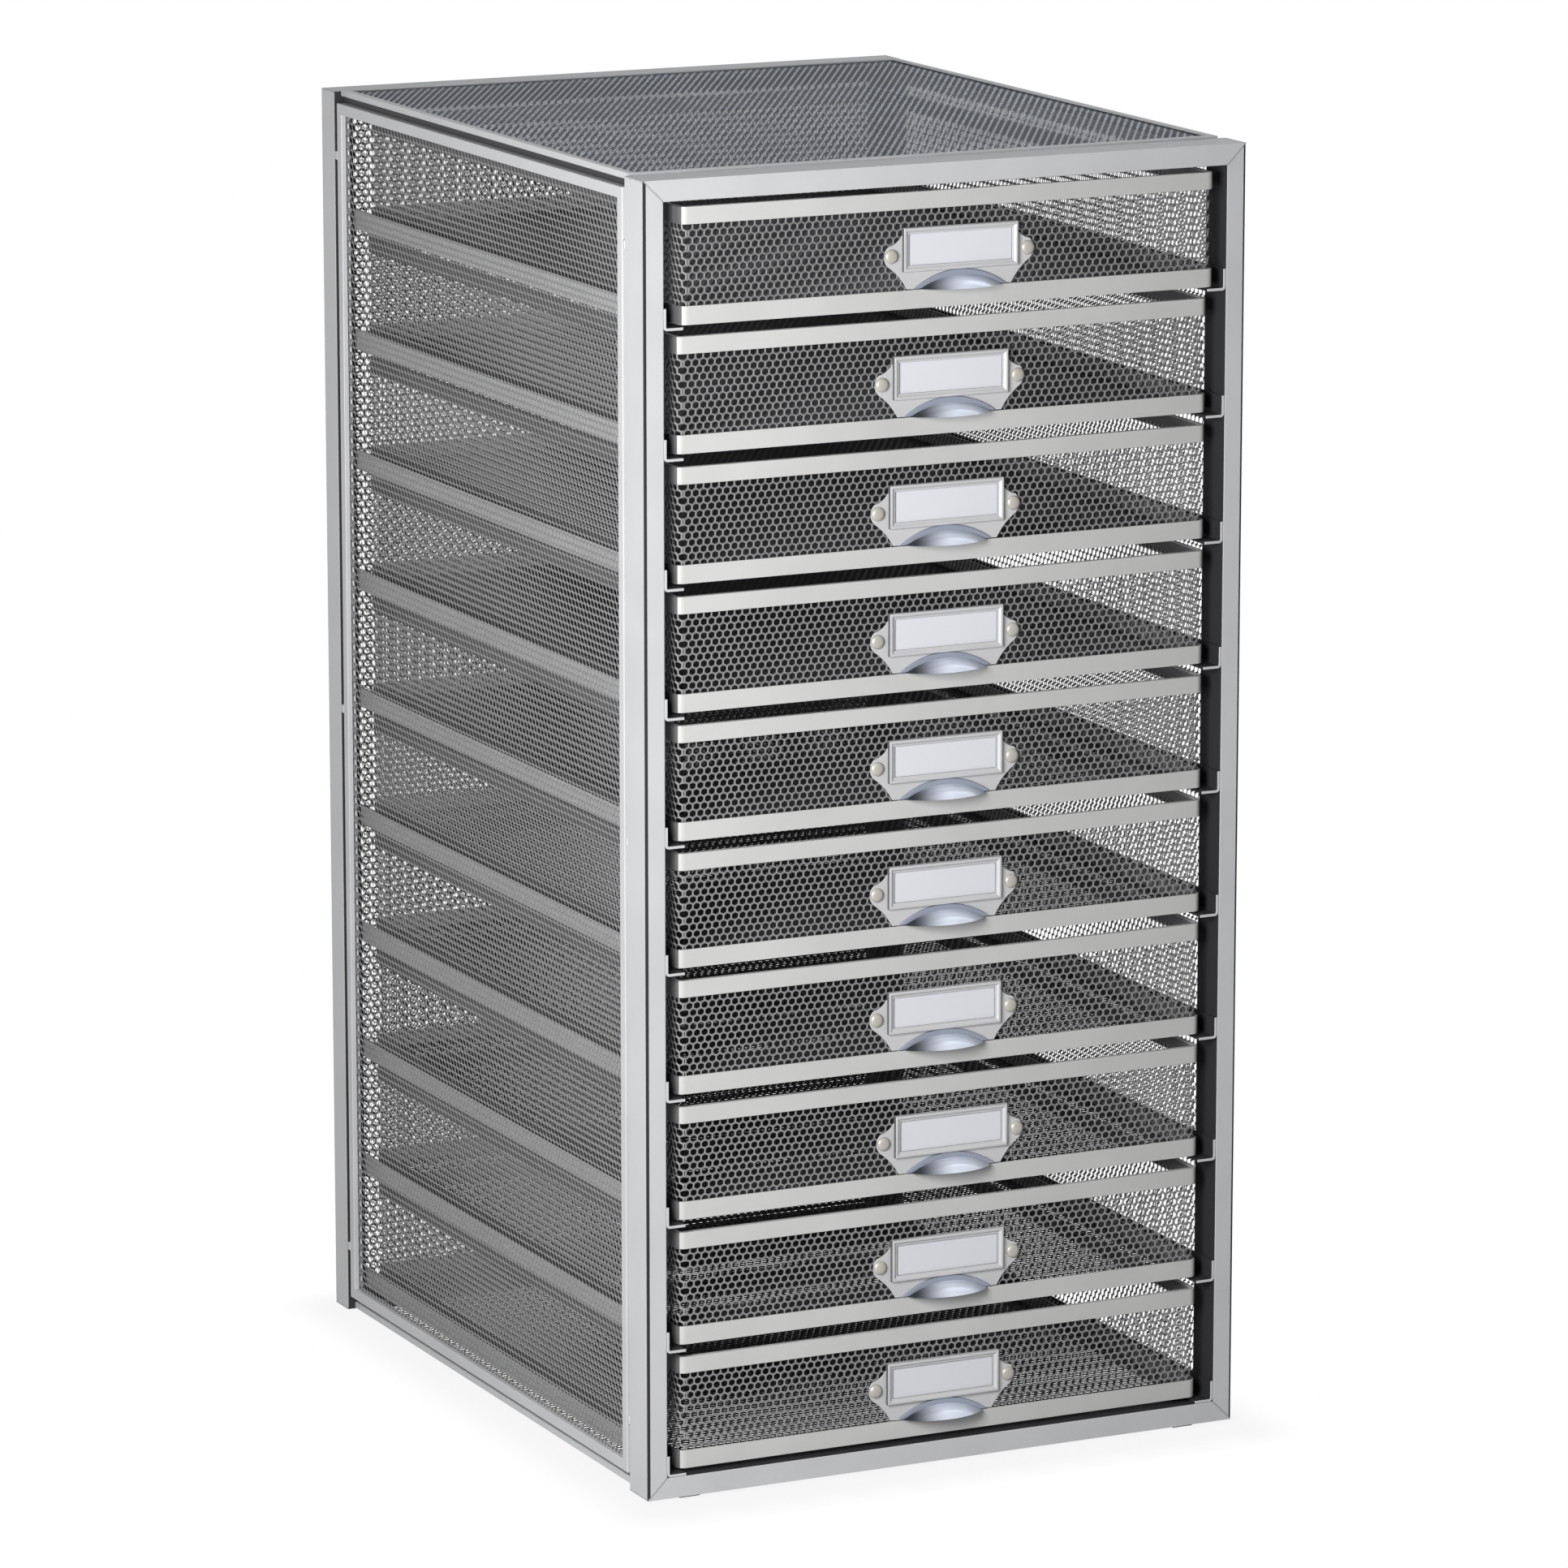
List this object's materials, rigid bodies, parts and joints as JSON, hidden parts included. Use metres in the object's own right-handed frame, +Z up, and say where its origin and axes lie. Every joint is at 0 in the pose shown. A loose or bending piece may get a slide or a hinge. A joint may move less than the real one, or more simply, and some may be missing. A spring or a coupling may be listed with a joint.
{
  "type": "desktop mini drawers",
  "caption": "Silver steel mesh desktop cabinet with a stack of shallow sliding mesh drawers, each with a label pull and a blank card.",
  "frame": {"origin": "on the table under the middle of the whole part", "axes": "+X to the user's right, +Y to the back, +Z up; the drawers open towards -Y"},
  "size_m": [0.286, 0.3609, 0.5748],
  "materials": {
    "silver_steel": "satin",
    "steel_mesh": "satin",
    "pull_steel": "satin",
    "card": "matte",
    "rubber": "matte"
  },
  "bodies": {
    "cabinet": {"front_frame_left_post": "silver_steel", "front_frame_right_post": "silver_steel", "front_frame_top_rail": "silver_steel", "front_frame_bottom_rail": "silver_steel", "back_frame_left_post": "silver_steel", "back_frame_right_post": "silver_steel", "back_frame_top_rail": "silver_steel", "back_frame_bottom_rail": "silver_steel", "left_panel_rim": "silver_steel", "left_panel_mesh": "steel_mesh", "right_panel_rim": "silver_steel", "right_panel_mesh": "steel_mesh", "top_panel_rim": "silver_steel", "top_panel_mesh": "steel_mesh", "bottom_panel_rim": "silver_steel", "bottom_panel_mesh": "steel_mesh", "back_panel_mesh": "steel_mesh", "weld_tacks": "silver_steel", "drawer_runners": "silver_steel", "rubber_feet": "rubber"},
    "drawer_01": {"drawer_01_basket": "steel_mesh", "drawer_01_rims": "silver_steel", "drawer_01_pull": "pull_steel", "drawer_01_card": "card"},
    "drawer_02": {"drawer_02_basket": "steel_mesh", "drawer_02_rims": "silver_steel", "drawer_02_pull": "pull_steel", "drawer_02_card": "card"},
    "drawer_03": {"drawer_03_basket": "steel_mesh", "drawer_03_rims": "silver_steel", "drawer_03_pull": "pull_steel", "drawer_03_card": "card"},
    "drawer_04": {"drawer_04_basket": "steel_mesh", "drawer_04_rims": "silver_steel", "drawer_04_pull": "pull_steel", "drawer_04_card": "card"},
    "drawer_05": {"drawer_05_basket": "steel_mesh", "drawer_05_rims": "silver_steel", "drawer_05_pull": "pull_steel", "drawer_05_card": "card"},
    "drawer_06": {"drawer_06_basket": "steel_mesh", "drawer_06_rims": "silver_steel", "drawer_06_pull": "pull_steel", "drawer_06_card": "card"},
    "drawer_07": {"drawer_07_basket": "steel_mesh", "drawer_07_rims": "silver_steel", "drawer_07_pull": "pull_steel", "drawer_07_card": "card"},
    "drawer_08": {"drawer_08_basket": "steel_mesh", "drawer_08_rims": "silver_steel", "drawer_08_pull": "pull_steel", "drawer_08_card": "card"},
    "drawer_09": {"drawer_09_basket": "steel_mesh", "drawer_09_rims": "silver_steel", "drawer_09_pull": "pull_steel", "drawer_09_card": "card"},
    "drawer_10": {"drawer_10_basket": "steel_mesh", "drawer_10_rims": "silver_steel", "drawer_10_pull": "pull_steel", "drawer_10_card": "card"}
  },
  "joints": [
    {"name": "drawer_01_slide", "type": "slide", "parent": "cabinet", "child": "drawer_01", "axis": [0, -1, 0], "range_m": [-0.005, 0.295]},
    {"name": "drawer_02_slide", "type": "slide", "parent": "cabinet", "child": "drawer_02", "axis": [0, -1, 0], "range_m": [0, 0.3]},
    {"name": "drawer_03_slide", "type": "slide", "parent": "cabinet", "child": "drawer_03", "axis": [0, -1, 0], "range_m": [0, 0.3]},
    {"name": "drawer_04_slide", "type": "slide", "parent": "cabinet", "child": "drawer_04", "axis": [0, -1, 0], "range_m": [0, 0.3]},
    {"name": "drawer_05_slide", "type": "slide", "parent": "cabinet", "child": "drawer_05", "axis": [0, -1, 0], "range_m": [0, 0.3]},
    {"name": "drawer_06_slide", "type": "slide", "parent": "cabinet", "child": "drawer_06", "axis": [0, -1, 0], "range_m": [0, 0.3]},
    {"name": "drawer_07_slide", "type": "slide", "parent": "cabinet", "child": "drawer_07", "axis": [0, -1, 0], "range_m": [0, 0.3]},
    {"name": "drawer_08_slide", "type": "slide", "parent": "cabinet", "child": "drawer_08", "axis": [0, -1, 0], "range_m": [0, 0.3]},
    {"name": "drawer_09_slide", "type": "slide", "parent": "cabinet", "child": "drawer_09", "axis": [0, -1, 0], "range_m": [0, 0.3]},
    {"name": "drawer_10_slide", "type": "slide", "parent": "cabinet", "child": "drawer_10", "axis": [0, -1, 0], "range_m": [0, 0.3]}
  ]
}
